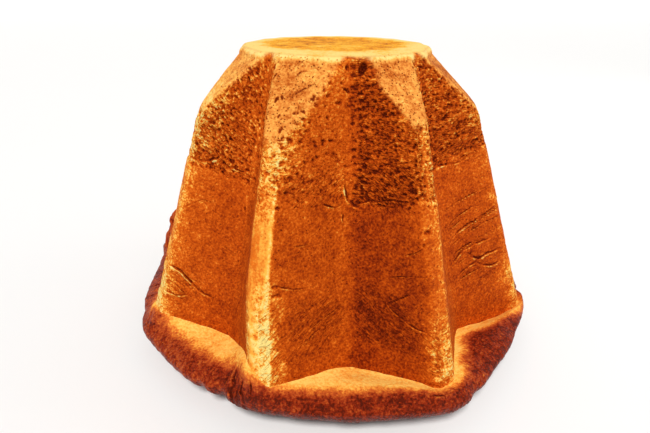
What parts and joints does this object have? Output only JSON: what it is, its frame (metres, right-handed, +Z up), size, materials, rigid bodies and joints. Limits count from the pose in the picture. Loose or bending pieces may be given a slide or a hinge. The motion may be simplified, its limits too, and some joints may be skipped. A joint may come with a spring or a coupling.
{
  "type": "pandoro",
  "caption": "Tall star-shaped sweet cake with sloping shoulders and a flat top, whole and uncut, standing on its wide dark crust.",
  "frame": {"origin": "middle of the underside, where the crust rests on the table", "axes": "+Z up along the cake's axis; -Y out of a valley of the star, at the front; +X to the right"},
  "size_m": [0.232, 0.233, 0.159],
  "materials": {
    "baked_crumb": "golden brown baked crumb with fine open pores, darker and slightly glossy on the crust at the base"
  },
  "bodies": {
    "root": {"pandoro": "baked_crumb"}
  },
  "joints": []
}
